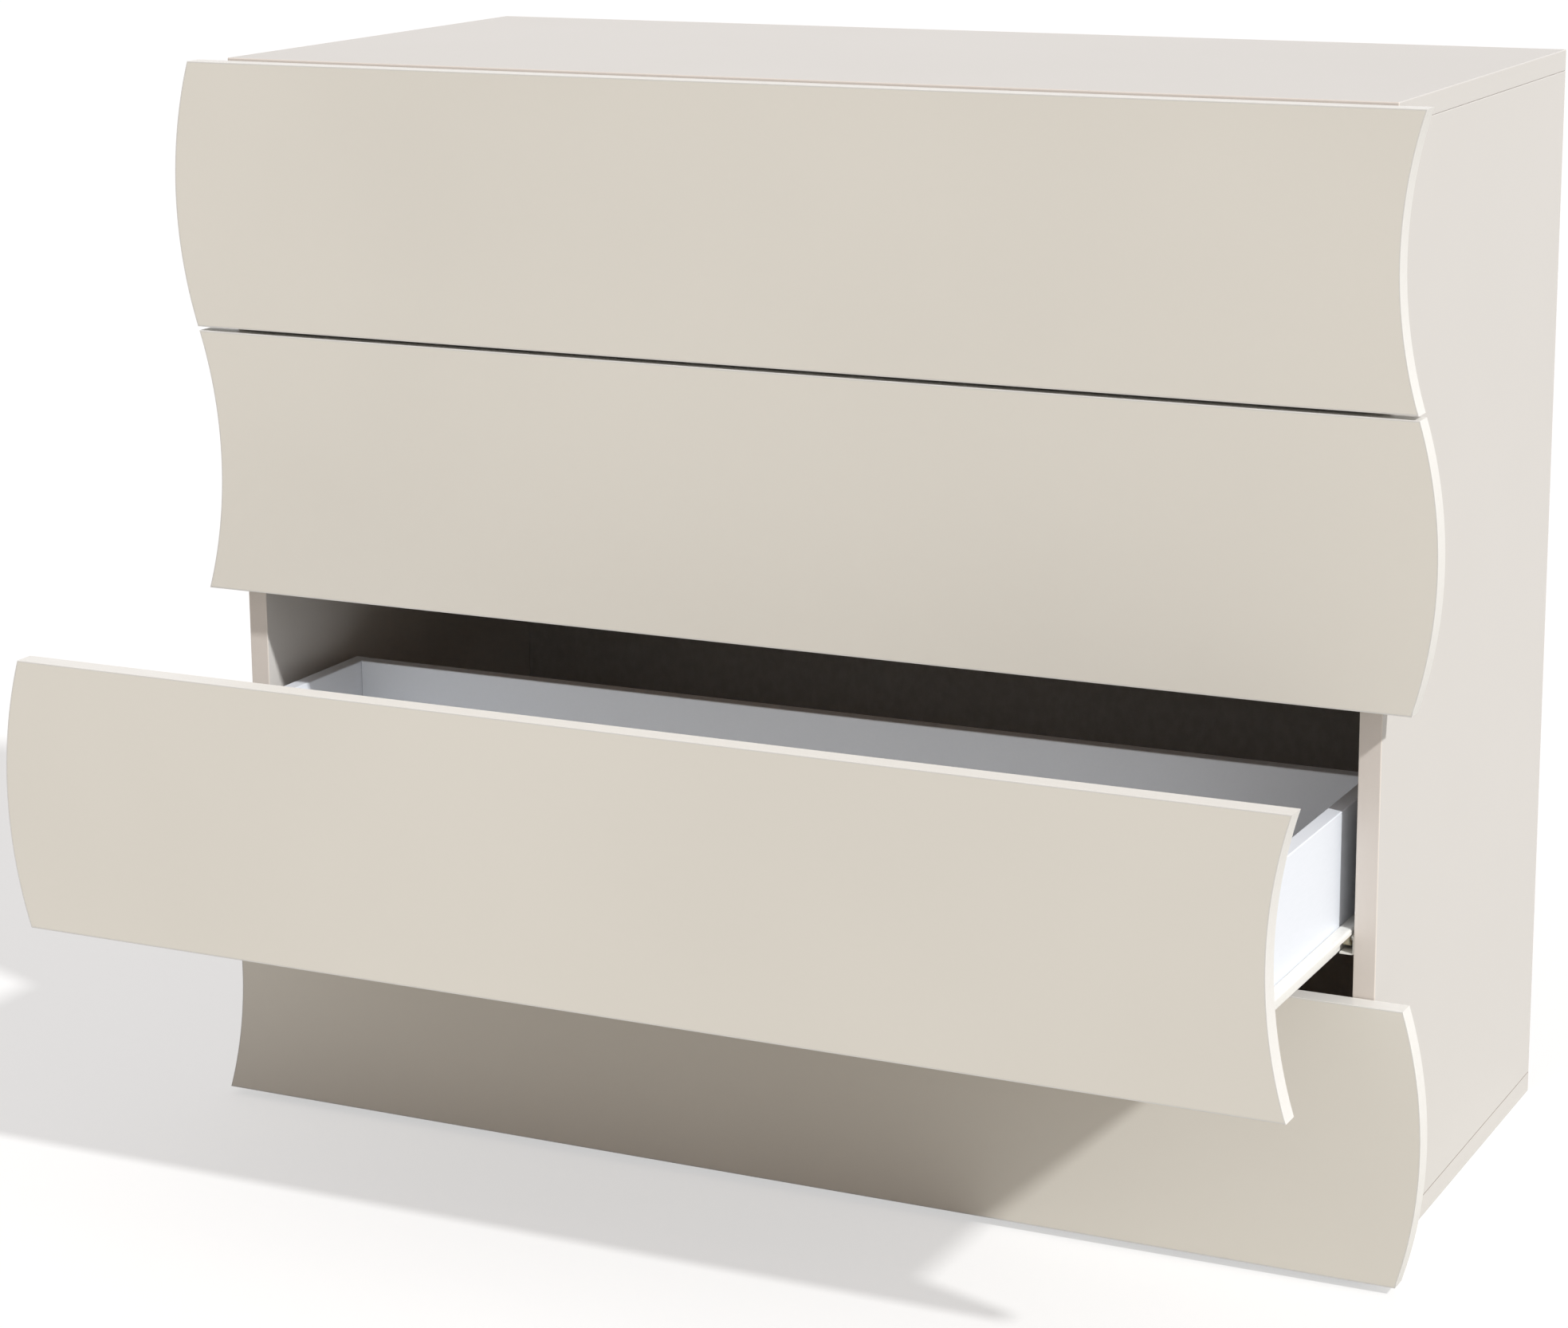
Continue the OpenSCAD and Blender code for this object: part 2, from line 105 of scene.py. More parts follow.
# One material's node tree, or the world's
class Finish:
    def __init__(self, owner):
        owner.use_nodes = True
        self.owner = owner
        self.tree = owner.node_tree
        self.tree.nodes.clear()

    # Any node: its type, its settings, the values or wires of its sockets, and the output wanted
    def add(self, kind, settings=None, sockets=None, output=0):
        node = self.tree.nodes.new("ShaderNode" + kind)
        for key, value in (settings or {}).items():
            setattr(node, key, value)
        for key, value in (sockets or {}).items():
            if isinstance(value, Wire):
                self.tree.links.new(value.plug, node.inputs[key])
            else:
                node.inputs[key].default_value = value
        return Wire(self, node.outputs[output]) if len(node.outputs) else None

    def maths(self, operation, a, b=0.0):
        return self.add("Math", {"operation": operation}, {0: a, 1: b})

    def distance(self, a, b):
        return self.maths("ABSOLUTE", a - b)

    # 0 at low and before it, 1 at high and past it, with a smooth step between; low may be the larger one
    def step(self, value, low, high):
        settings = {"interpolation_type": "SMOOTHSTEP"}
        return self.add("MapRange", settings, {"Value": value, "From Min": low, "From Max": high})

    def blend(self, share, a, b):
        return self.add("Mix", {"data_type": "RGBA"}, {0: share, 6: a, 7: b}, 2)

    # Blend of a pair of written colours, the first one where the share is 0
    def mottle(self, share, colours):
        return self.blend(share, paint(*colours[0]), paint(*colours[1]))

    # Noise on the object's own coordinates; scale counts blobs per metre, stretch scales each axis first
    def noise(self, scale, detail, stretch=(1, 1, 1)):
        place = self.add("TexCoord", output="Object")
        stretched = self.add("Mapping", None, {"Vector": place, "Scale": stretch})
        return self.add("TexNoise", None, {"Vector": stretched, "Scale": scale, "Detail": detail})

    def coordinates(self):
        place = self.add("TexCoord", output="Object")
        split = self.add("SeparateXYZ", None, {0: place})
        outputs = split.plug.node.outputs
        return [Wire(self, outputs[k]) for k in range(3)]

    # Surface shader: bump is a pattern, height how far it stands out in metres, and other names are sockets
    def surface(self, colour, roughness, bump, height, **constants):
        sockets = {"Base Color": colour, "Roughness": roughness}
        sockets["Normal"] = self.add("Bump", None, {"Height": bump, "Distance": height, "Strength": 1.0})
        sockets.update({key.replace("_", " "): value for key, value in constants.items()})
        shader = self.add("BsdfPrincipled", None, sockets)
        self.add("OutputMaterial", None, {"Surface": shader})
        return self.owner


# A colour written as the screen shows it, 0 to 255, in the shader's linear values, by the sRGB curve
def paint(red, green, blue):
    screen = np.array([red, green, blue]) / 255
    linear = np.where(screen <= 0.04045, screen / 12.92, ((screen + 0.055) / 1.055) ** 2.4)
    return (*linear.tolist(), 1.0)


# Studio: a soft sun from the right, the front and above, an even sky and a pale floor
studio = {
    "sunFrom": (0.70, -0.28, 0.645),
    "sunPower": 3.0,
    "sunSize": 3,  # degrees
    "sky": 0.495,  # strength
    "skyTint": (1, 0.93, 0.91, 1),
    "floor": paint(203, 203, 199),  # as it lights the object
    "floorSeen": paint(252, 252, 251),  # as the camera sees it
    "shadowEase": 0.55,  # share of plain white in what the camera sees
    "floorSize": 60,  # metres
}


plainWhite = {"Color": (1, 1, 1, 1), "Strength": 1.0}


def addSun(v):
    lamp = bpy.data.lights.new("sun", "SUN")
    lamp.energy = v["sunPower"]
    lamp.angle = math.radians(v["sunSize"])
    sun = bpy.data.objects.new("sun", lamp)
    sun.rotation_euler = Vector(v["sunFrom"]).to_track_quat("Z", "Y").to_euler()
    bpy.context.scene.collection.objects.link(sun)


# The sky lights the object evenly and looks plain white to the camera, in metal and through glass
def addSky(v):
    sky = Finish(bpy.data.worlds.new("sky"))
    rays = sky.add("LightPath", output="Is Camera Ray")
    outputs = rays.plug.node.outputs
    seen = rays + Wire(sky, outputs["Is Glossy Ray"]) + Wire(sky, outputs["Is Transmission Ray"])
    even = sky.add("Background", None, {"Color": v["skyTint"], "Strength": v["sky"]})
    white = sky.add("Background", None, plainWhite)
    mixed = sky.add("MixShader", None, {0: seen, 1: even, 2: white})
    sky.add("OutputWorld", None, {"Surface": mixed})
    bpy.context.scene.world = sky.owner


# The floor keeps the object's shadow, eased where the camera sees it
def addFloor(v):
    half = v["floorSize"] / 2
    mesh = bpy.data.meshes.new("floor")
    corners = [(-half, -half, 0), (half, -half, 0), (half, half, 0), (-half, half, 0)]
    mesh.from_pydata(corners, [], [(0, 1, 2, 3)])
    floor = bpy.data.objects.new("floor", mesh)
    bpy.context.scene.collection.objects.link(floor)
    pale = Finish(bpy.data.materials.new("floor"))
    rays = pale.add("LightPath", output="Is Camera Ray")
    matt = pale.add("BsdfDiffuse", None, {"Color": pale.blend(rays, v["floor"], v["floorSeen"])})
    white = pale.add("Emission", None, plainWhite)
    eased = pale.add("MixShader", None, {0: rays * v["shadowEase"], 1: matt, 2: white})
    pale.add("OutputMaterial", None, {"Surface": eased})
    mesh.materials.append(pale.owner)


addSun(studio)
addSky(studio)
addFloor(studio)
bpy.context.scene.view_settings.view_transform = "Standard"
print("studio lit")


# Finishes. "colours" are the two that a pattern blends. A pattern is its blobs per metre and its detail, and
# a stretch of each axis where it has a direction. "rough" is the least roughness and what the pattern adds.
# In each function f is the finish and v its values


# Sprayed fronts: an even coat with a trace of orange peel
lacquer = {
    "colours": ((234, 230, 220), (230, 226, 216)),
    "patches": (2.5, 3),
    "patchRange": (0.3, 0.75),
    "rough": (0.40, 0.08),
    "peel": (420, 1),
    "peelHeight": 0.012 * mm,
}


def makeLacquer(v):
    f = Finish(bpy.data.materials.new("frontLacquer"))
    patches = f.noise(*v["patches"])
    colour = f.mottle(f.step(patches, *v["patchRange"]), v["colours"])
    return f.surface(colour, v["rough"][0] + patches * v["rough"][1], f.noise(*v["peel"]), v["peelHeight"])


# Laminated board: pearl texture on its faces, a paler band on the front edges and raw particle board on the
# rear ones. Where a side panel meets the bottom and the top, a dark line of painted shade stands for the
# shadow in the joint's narrow gap
laminate = {
    "colours": ((208, 205, 201), (203, 200, 195)),
    "patches": (3, 3),
    "pearl": (900, 2),
    "pearlHeight": 0.01 * mm,
    "rough": (0.46, 0.06),
    "band": (219, 211, 203),
    "bandFrom": (0.9 * mm, 0.7 * mm),  # where it fades in, behind the front edge
    "raw": ((206, 184, 148), (158, 128, 90)),
    "rawFrom": (0.25 * mm, 0.05 * mm),  # where it fades in, before the rear edge
    "rawRough": 0.4,  # added there
    "chips": (330, 4, (1, 1, 0.45)),
    "chipRange": (0.35, 0.68),
    "chipHeight": 8,  # times the pearl's
    "seam": 0.3 * mm,  # half width of the painted shade line
    "seamDepth": 1.2 * mm,  # how far it goes in from the outer face
    # colour of the painted shade in the joints
    "seamShadeColour": (112, 88, 78),
    "seamShadeShares": (0.8, 0.25),  # how dark the painted shade is along the lower and the upper joint
}


def makeLaminate(v):
    f = Finish(bpy.data.materials.new("carcassLaminate"))
    x, y, z = f.coordinates()
    lo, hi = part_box("right_side_panel")
    pearl = f.noise(*v["pearl"])
    chips = f.noise(*v["chips"])
    face = f.mottle(f.noise(*v["patches"]), v["colours"])
    raw = f.mottle(f.step(chips, *v["chipRange"]), v["raw"])
    rear = f.step(y, hi.y - v["rawFrom"][0], hi.y - v["rawFrom"][1])
    fore = f.step(y, lo.y + v["bandFrom"][0], lo.y + v["bandFrom"][1])
    colour = f.blend(fore, f.blend(rear, face, raw), paint(*v["band"]))
    # Painted shade: a dark line along the joints with the bottom and the top, near the outer faces, for the
    # shadow in the gap
    outer = f.step(f.distance(x, 0), hi.x - v["seamDepth"], hi.x - v["seamDepth"] / 2)
    for height, share in zip((lo.z, hi.z), v["seamShadeShares"]):
        near = f.step(f.distance(z, height), v["seam"], v["seam"] / 3)
        colour = f.blend(near * outer * share, colour, paint(*v["seamShadeColour"]))
    rough = v["rough"][0] + rear * v["rawRough"] + pearl * v["rough"][1]
    return f.surface(colour, rough, pearl + rear * chips * v["chipHeight"], v["pearlHeight"])


# Hardboard back: mid grey, with fibres and finer specks
backBoard = {
    "colours": ((174, 172, 169), (162, 159, 155)),
    "fibres": (160, 6, (1, 1, 0.6)),
    "specks": (960, 3),
    "speckShare": 0.4,
    "range": (0.35, 0.65),
    "rough": (0.62, 0.12),
    "height": 0.03 * mm,
}


def makeBackBoard(v):
    f = Finish(bpy.data.materials.new("backBoard"))
    fibres = f.noise(*v["fibres"])
    specks = f.noise(*v["specks"])
    mixed = fibres * (1 - v["speckShare"]) + specks * v["speckShare"]
    colour = f.mottle(f.step(mixed, *v["range"]), v["colours"])
    return f.surface(colour, v["rough"][0] + specks * v["rough"][1], fibres + specks, v["height"])


# Drawer bottoms: painted above, brown hardboard below
drawerBottom = {
    "colours": ((226, 228, 229), (218, 220, 221)),
    "under": ((150, 116, 78), (118, 86, 54)),
    "underFrom": (0.3, 0.6),  # how far down a face looks, 0 to 1, where the brown begins and is full
    "underRough": 0.25,  # added there
    "fibres": (220, 5),
    "fibreRange": (0.35, 0.65),
    "rough": 0.45,
    "height": 0.015 * mm,
}


def makeDrawerBottom(v):
    f = Finish(bpy.data.materials.new("drawerBottom"))
    fibres = f.noise(*v["fibres"])
    normal = f.add("TexCoord", output="Normal")
    downwards = f.add("VectorMath", {"operation": "DOT_PRODUCT"}, {0: normal, 1: (0, 0, -1)}, "Value")
    under = f.step(downwards, *v["underFrom"])
    brown = f.mottle(f.step(fibres, *v["fibreRange"]), v["under"])
    colour = f.blend(under, f.mottle(fibres, v["colours"]), brown)
    return f.surface(colour, v["rough"] + under * v["underRough"], fibres, v["height"])


# Zinc of the fittings: a dull patch here and there, and fine scratches
zinc = {
    "colours": ((186, 189, 193), (150, 153, 158)),
    "patches": (120, 3),
    "scratches": (900, 2, (0.2, 1, 1)),
    "rough": (0.28, 0.2, 0.08),  # least, added by the patches, added by the scratches
    "height": 0.006 * mm,
}


def makeZinc(v):
    f = Finish(bpy.data.materials.new("zincFittings"))
    patches = f.noise(*v["patches"])
    scratches = f.noise(*v["scratches"])
    rough = v["rough"][0] + patches * v["rough"][1] + scratches * v["rough"][2]
    return f.surface(f.mottle(patches, v["colours"]), rough, scratches, v["height"], Metallic=1.0)


# Finishes with a single grain. It blends the colours, adds to the roughness and stands out by the height
edgeBand = {  # plastic, with its grain along it
    "colours": ((227, 226, 222), (222, 220, 215)),
    "grain": (260, 2, (0.12, 1, 1)),
    "rough": (0.36, 0.1),
    "height": 0.008 * mm,
}
drawerFoil = {  # cool white, on the drawer boxes
    "colours": ((227, 231, 238), (223, 228, 234)),
    "grain": (500, 2, (1, 0.15, 1)),
    "rough": (0.44, 0.08),
    "height": 0.008 * mm,
}
powderCoat = {  # white, on the runners and rails
    "colours": ((232, 232, 228), (224, 223, 218)),
    "grain": (700, 2),
    "rough": (0.34, 0.12),
    "height": 0.02 * mm,
}
nylon = {  # slightly yellowed, on the rollers
    "colours": ((214, 204, 184), (196, 184, 160)),
    "grain": (500, 3),
    "rough": (0.38, 0.15),
    "height": 0.01 * mm,
}
beech = {  # of the dowels
    "colours": ((217, 185, 138), (190, 152, 104)),
    "grain": (420, 3, (1, 1, 0.06)),
    "rough": (0.55, 0.1),
    "height": 0.03 * mm,
}


def makeGrained(name, v, **constants):
    f = Finish(bpy.data.materials.new(name))
    grain = f.noise(*v["grain"])
    rough = v["rough"][0] + grain * v["rough"][1]
    return f.surface(f.mottle(grain, v["colours"]), rough, grain, v["height"], **constants)


finishes = {
    "front_lacquer": makeLacquer(lacquer),
    "front_edge_band": makeGrained("edgeBand", edgeBand),
    "carcass_laminate": makeLaminate(laminate),
    "back_board": makeBackBoard(backBoard),
    "drawer_laminate": makeGrained("drawerFoil", drawerFoil),
    "drawer_bottom_board": makeDrawerBottom(drawerBottom),
    "runner_steel": makeGrained("runnerCoat", powderCoat),
    "roller_nylon": makeGrained("rollerNylon", nylon, Subsurface_Weight=0.15),
    "zinc_fittings": makeZinc(zinc),
}
dowelFinish = makeGrained("dowelBeech", beech)
print("finishes made:", len(finishes) + 1)


# How the meshes are cleaned and how the boards' long outer edges are eased
meshing = {
    "sharp": 40,  # degrees; edges that turn more stay crisp
    "weld": 0.0001 * mm,  # points of a new mesh that lie closer are one
    "boardWeld": 0.001 * mm,  # likewise in a board's copy
    "flat": 0.5,  # degrees; a board's faces that turn less become one
    "corner": 30,  # degrees; a board's edges that turn more are eased
    "shortest": 12 * mm,  # eased edges are longer than this
    "easeSteps": 3,
    "carcassEase": 0.7 * mm,
    "boxEase": 0.8 * mm,
    "thinEase": 0.3 * mm,  # of the back panel and the drawer bottoms
}


# Puts a mesh in the scene as a piece that rides on a body and stands for CAD nodes. Only beech has no slot
def addPiece(name, mesh, slotName, body, nodes):
    mesh.materials.append(finishes.get(slotName, dowelFinish))
    mesh.polygons.foreach_set("use_smooth", np.ones(len(mesh.polygons), bool))
    mesh.set_sharp_from_angle(angle=math.radians(meshing["sharp"]))
    piece = bpy.data.objects.new(name, mesh)
    bpy.context.scene.collection.objects.link(piece)
    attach(piece, body)
    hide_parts(*nodes)
    return piece


# Leans the normals towards the larger faces, so that a flat board looks flat
def weighNormals(piece):
    piece.modifiers.new("flatFaces", "WEIGHTED_NORMAL").keep_sharp = True


# Mesh of one or more closed shells, each a point array and a face list, with its normals turned outwards
def meshOf(name, shells):
    points = np.concatenate([shell[0] for shell in shells])
    starts = np.cumsum([0] + [len(shell[0]) for shell in shells]).tolist()
    faces = [[k + start for k in face] for shell, start in zip(shells, starts) for face in shell[1]]
    mesh = bpy.data.meshes.new(name)
    mesh.from_pydata(points.tolist(), [], faces)
    form = bmesh.new()
    form.from_mesh(mesh)
    bmesh.ops.remove_doubles(form, verts=form.verts, dist=meshing["weld"])
    bmesh.ops.recalc_face_normals(form, faces=form.faces)
    form.to_mesh(mesh)
    form.free()
    return mesh


# Shell from a grid of points, rows by columns. Each row is a ring, and the rows close on themselves too or
# end in caps
def gridShell(grid, closed=False):
    rows, columns = grid.shape[:2]
    row = np.arange(rows if closed else rows - 1)[:, None] * columns
    nextRow = (row + columns) % (rows * columns)
    column = np.arange(columns)
    nextColumn = (column + 1) % columns
    corners = [row + column, row + nextColumn, nextRow + nextColumn, nextRow + column]
    faces = np.stack(corners, -1).reshape(-1, 4).tolist()
    if not closed:
        faces.append(list(range(columns))[::-1])
        faces.append(list(range((rows - 1) * columns, rows * columns)))
    return grid.reshape(-1, 3), faces


# A shell drawn for the right-hand side, kept there or mirrored to the left
def mirrored(shell, hand):
    return shell[0] * np.array([hand, 1, 1]), shell[1]


# Copy of a CAD node with its loose triangles merged and its long outer edges eased by a small bevel
def easedCopy(name, slotName, body, node, width):
    flat, corner = math.radians(meshing["flat"]), math.radians(meshing["corner"])
    form = bmesh.new()
    form.from_mesh(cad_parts[node].data)
    bmesh.ops.remove_doubles(form, verts=form.verts, dist=meshing["boardWeld"])
    bmesh.ops.dissolve_limit(form, angle_limit=flat, verts=form.verts, edges=form.edges)
    weights = form.edges.layers.float.new("bevel_weight_edge")
    for edge in form.edges:
        outer = edge.is_manifold and edge.calc_face_angle_signed(0) > corner
        edge[weights] = 1.0 if outer and edge.calc_length() > meshing["shortest"] else 0.0
    mesh = bpy.data.meshes.new(name)
    form.to_mesh(mesh)
    form.free()
    piece = addPiece(name, mesh, slotName, body, [node])
    bevel = piece.modifiers.new("easedEdges", "BEVEL")
    bevel.limit_method = "WEIGHT"
    bevel.width = width
    bevel.segments = meshing["easeSteps"]
    bevel.use_clamp_overlap = False
    weighNormals(piece)


# Carcass panels
for node in ("top_panel", "bottom_panel", "left_side_panel", "right_side_panel"):
    easedCopy("carcass." + node, "carcass_laminate", "carcass", node, meshing["carcassEase"])
easedCopy("carcass.back_panel", "back_board", "carcass", "back_panel", meshing["thinEase"])
print("carcass panels made")


# Drawer fronts. Each end is an arc of one circle, bulging at one end and hollow at the other
fronts = {
    "wave": 16 * mm,  # how far an end swings out
    "gap": 3 * mm,  # between two fronts
    "band": 1 * mm,  # thickness of the edge band
    "rounding": 0.4 * mm,  # of the band's long edges
    "roundingSteps": 5,
    "joint": 0.12 * mm,  # chamfer where the face meets the band
    "endSteps": 56,
}


# Ring of points (X, Z) round a front, the given inset inside its edge. With h the height above the middle,
# a bulging end lies at centre + sqrt((radius - inset)^2 - h^2) and a hollow end, one width to the side, at
# centre - width + sqrt((radius + inset)^2 - h^2)
def frontRing(lo, hi, inset):
    swing = -1 if -lo.x > hi.x else 1
    half = max(-lo.x, hi.x) - fronts["wave"]
    pitch = hi.z - lo.z + fronts["gap"]
    radius = (pitch**2 / 4 + fronts["wave"] ** 2) / (2 * fronts["wave"])
    centre = half + fronts["wave"] - radius
    z = np.linspace(lo.z + inset, hi.z - inset, fronts["endSteps"])
    h = z - (lo.z + hi.z) / 2
    bulging = centre + np.sqrt((radius - inset) ** 2 - h**2)
    hollow = centre - 2 * half + np.sqrt((radius + inset) ** 2 - h**2)
    return np.concatenate([np.stack([swing * bulging, z], 1), np.stack([swing * hollow, z], 1)[::-1]])


# Rings carried along a profile of (inset, Y) pairs, as a grid of points
def frontGrid(lo, hi, profile):
    rings = []
    for inset, y in profile:
        ring = frontRing(lo, hi, inset)
        rings.append(np.stack([ring[:, 0], np.full(len(ring), y), ring[:, 1]], 1))
    return np.array(rings)


# The band's section goes round its two outer corners. The front fills the band and is chamfered at its face
def makeFront(i):
    lo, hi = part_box(f"drawer_{i}_edge_band")
    band, rounding, joint = fronts["band"], fronts["rounding"], fronts["joint"]
    turn = np.radians(np.linspace(0, 90, fronts["roundingSteps"]))
    rear = [(rounding * (1 - math.sin(a)), hi.y - rounding * (1 - math.cos(a))) for a in turn]
    fore = [(rounding * (1 - math.cos(a)), lo.y + rounding * (1 - math.sin(a))) for a in turn]
    bandShell = gridShell(frontGrid(lo, hi, [(band, hi.y), *rear, *fore, (band, lo.y)]), closed=True)
    slab = gridShell(frontGrid(lo, hi, [(band, hi.y), (band, lo.y + joint), (band + joint, lo.y)]))
    for part, shell, slotName, node in (("edgeBand", bandShell, "front_edge_band", f"drawer_{i}_edge_band"),
                                        ("front", slab, "front_lacquer", f"drawer_{i}_front")):
        mesh = meshOf(f"{part}{i}", [shell])
        weighNormals(addPiece(f"drawer{i}.{part}", mesh, slotName, f"drawer_{i}", [node]))


for i in drawers:
    makeFront(i)
print("drawer fronts made")


# Drawer boxes
for i in drawers:
    body = f"drawer_{i}"
    for part in ("left_side", "right_side", "back"):
        easedCopy(f"drawer{i}.{part}", "drawer_laminate", body, f"drawer_{i}_{part}", meshing["boxEase"])
    easedCopy(f"drawer{i}.bottom", "drawer_bottom_board", body, f"drawer_{i}_bottom", meshing["thinEase"])
print("drawer boxes made")


# Steel profiles. Sections are drawn in U, outwards from the drawer side, and Z, up from the box's lower
# edge
profiles = {
    "steel": 1.2 * mm,
    "bend": 1.2 * mm,  # radius of a bend's middle line
    "bendSteps": 6,
    "leg": 11 * mm,  # under the drawer side
    "flangeZ": 16.3 * mm,  # running face of the drawer's profile
    "lipU": 9.1 * mm,
    "lipZ": 13.5 * mm,
    "railU": 11.3 * mm,  # inner face of the rail's web
    "railFlangeU": 1.9 * mm,
    "channel": 11.3 * mm,  # height inside the rail
    "upperFlangeFrom": 17.5 * mm,  # the upper flange leaves the front roller free
    "upperStub": 1.44 * mm,  # what it reaches out from the web there
    "axleEnd": 9 * mm,  # from a profile's end to its axle
    "frontAxleZ": 9.5 * mm,
    "rearAxleZ": 5.5 * mm,
    "axle": 2 * mm,  # radius
    "axleHead": 3 * mm,  # radius
    "headThick": 0.6 * mm,
    "headTip": 0.25,  # radius of the riveted dome's flat tip, as a share of the head's
    "headSteps": 4,
    "rollerU": 2.4 * mm,
    "rollerWide": 5.6 * mm,
    "play": 0.2 * mm,
    "stopAt": 74.33 * mm,  # rear face of the stop, from the rail's front end
    "stopLong": 1.5 * mm,
    "stopDrop": 1.6 * mm,
    "stopMargin": 0.6 * mm,
    "stopRounding": 0.4 * mm,  # radius
    "stopSteps": 4,
    "ringPoints": 48,
}


# Outline of a bent strip: straight runs joined by arcs on the middle line, and each face half a thickness
# off it
def bentStrip(corners):
    p = profiles
    corners = np.array(corners, float)
    runs = np.diff(corners, axis=0)
    runs /= np.linalg.norm(runs, axis=1)[:, None]
    left = np.stack([-runs[:, 1], runs[:, 0]], 1)
    line, normals = [corners[:1]], [left[:1]]
    for k in range(1, len(corners) - 1):
        turn = math.atan2(left[k - 1] @ runs[k], runs[k - 1] @ runs[k])
        side = math.copysign(1, turn)
        start = corners[k] - runs[k - 1] * p["bend"] * math.tan(abs(turn) / 2)
        centre = start + side * left[k - 1] * p["bend"]
        a = np.linspace(0, turn, p["bendSteps"])[:, None]
        normal = left[k - 1] * np.cos(a) + np.array([-left[k - 1][1], left[k - 1][0]]) * np.sin(a)
        line.append(centre - side * p["bend"] * normal)
        normals.append(normal)
    line = np.concatenate([*line, corners[-1:]])
    normals = np.concatenate([*normals, left[-1:]]) * p["steel"] / 2
    return np.concatenate([line + normals, (line - normals)[::-1]])


# Sections carried along Y, each at its station, from the box's corner
def sweptSection(sections, stations, boxX, boxZ):
    rings = []
    for section, y in zip(sections, stations):
        rings.append(np.stack([boxX + section[:, 0], np.full(len(section), y), boxZ + section[:, 1]], 1))
    return gridShell(np.array(rings))


fullTurn = np.linspace(0, 2 * math.pi, profiles["ringPoints"], endpoint=False)


# Rings round the X axis: their X, radius and angle, rows by columns
def ringShell(along, radius, angle, closed=False):
    along, radius, angle = np.broadcast_arrays(along, radius, angle)
    return gridShell(np.stack([along, radius * np.cos(angle), radius * np.sin(angle)], -1), closed)


# Turned part: each (X, radius) of its profile becomes a ring
def turned(profile, closed=False):
    along, radius = np.array(profile, float).T[:, :, None]
    return ringShell(along, radius, fullTurn, closed)


# A shell drawn along X, moved to a place or, with hand -1, to the same place on the left. It can run along
# axis 1 (Y) or 2 (Z) instead, or backwards. It is turned and never mirrored, so a thread stays right-handed
def placed(shell, place, axis=0, way=1, hand=1):
    points = np.roll(shell[0] * np.array([way, 1, way * hand]), axis, axis=1) + np.array(place)
    return points * np.array([hand, 1, 1]), shell[1]


# Axle with a collar at its start and a low riveted dome at its far end
def axleShell(start, collarEnd, shankEnd, y, z):
    p = profiles
    rise = math.copysign(p["headThick"], shankEnd - start)
    tip = p["headTip"]
    dome = [(shankEnd + rise * math.sin(a), p["axleHead"] * (tip + (1 - tip) * math.cos(a)))
            for a in np.radians(np.linspace(0, 90, p["headSteps"]))]
    collar = [(start, p["axleHead"]), (collarEnd, p["axleHead"])]
    return placed(turned([*collar, (collarEnd, p["axle"]), (shankEnd, p["axle"]), *dome]), (0, y, z))


# Box with rounded edges: a point of the unit sphere, times the rounding, added to the nearest inner corner
def roundedBox(lo, hi, rounding):
    quarter = np.linspace(0, math.pi / 2, profiles["stopSteps"])
    turn = np.concatenate([quarter + k * math.pi / 2 for k in range(4)])
    tilt = np.concatenate([quarter - math.pi / 2, quarter])[:, None]
    signs = np.repeat([[1, 1], [-1, 1], [-1, -1], [1, -1]], len(quarter), axis=0)
    upper = np.repeat([-1, 1], len(quarter))[:, None]
    out = np.cos(tilt)
    sphere = np.stack([out * np.cos(turn), out * np.sin(turn), np.sin(tilt) + 0 * turn], -1)
    corner = np.stack([0 * tilt + signs[:, 0], 0 * tilt + signs[:, 1], upper + 0 * turn], -1)
    lo, hi = np.array(lo), np.array(hi)
    return gridShell((lo + hi) / 2 + corner * ((hi - lo) / 2 - rounding) + sphere * rounding)


# Steel profile on the drawer: a leg under the side, a web beside it and a flange with a hanging lip
def runnerShells(lo, hi, boxX, boxZ):
    p = profiles
    mid = p["steel"] / 2
    strip = bentStrip([(-p["leg"], -mid), (mid, -mid), (mid, p["flangeZ"] + mid),
                       (p["lipU"] + mid, p["flangeZ"] + mid), (p["lipU"] + mid, p["lipZ"])])
    shankEnd = boxX + p["rollerU"] + p["rollerWide"] + p["play"]
    axle = axleShell(boxX + mid, boxX + p["rollerU"] - p["play"], shankEnd, hi.y - p["axleEnd"],
                     boxZ + p["rearAxleZ"])
    return [sweptSection([strip, strip], [lo.y, hi.y], boxX, boxZ), axle]


# Rail on the carcass: a channel that opens towards the drawer. Its upper flange starts behind the front
# roller, and a pressed stop hangs from it
def railShells(lo, hi, boxX, boxZ):
    p = profiles
    mid = p["steel"] / 2
    web = p["railU"] + mid
    lower = [(p["railFlangeU"], -mid), (web, -mid), (web, p["channel"] + mid)]
    whole = bentStrip([*lower, (p["railFlangeU"], p["channel"] + mid)])
    cut = bentStrip([*lower, (web - p["upperStub"], p["channel"] + mid)])
    step = lo.y + p["upperFlangeFrom"]
    channel = sweptSection([cut, cut, whole, whole], [lo.y, step, step, hi.y], boxX, boxZ)
    collarEnd = boxX + p["rollerU"] + p["rollerWide"] + p["play"]
    axle = axleShell(boxX + web, collarEnd, boxX + p["rollerU"] - p["play"], lo.y + p["axleEnd"],
                     boxZ + p["frontAxleZ"])
    stopX = boxX + p["rollerU"] + p["stopMargin"]
    stopWide = p["rollerWide"] - 2 * p["stopMargin"]
    stopY, stopZ = lo.y + p["stopAt"], boxZ + p["channel"]
    stop = roundedBox((stopX, stopY - p["stopLong"], stopZ - p["stopDrop"]),
                      (stopX + stopWide, stopY, stopZ + mid), p["stopRounding"])
    return [channel, axle, stop]


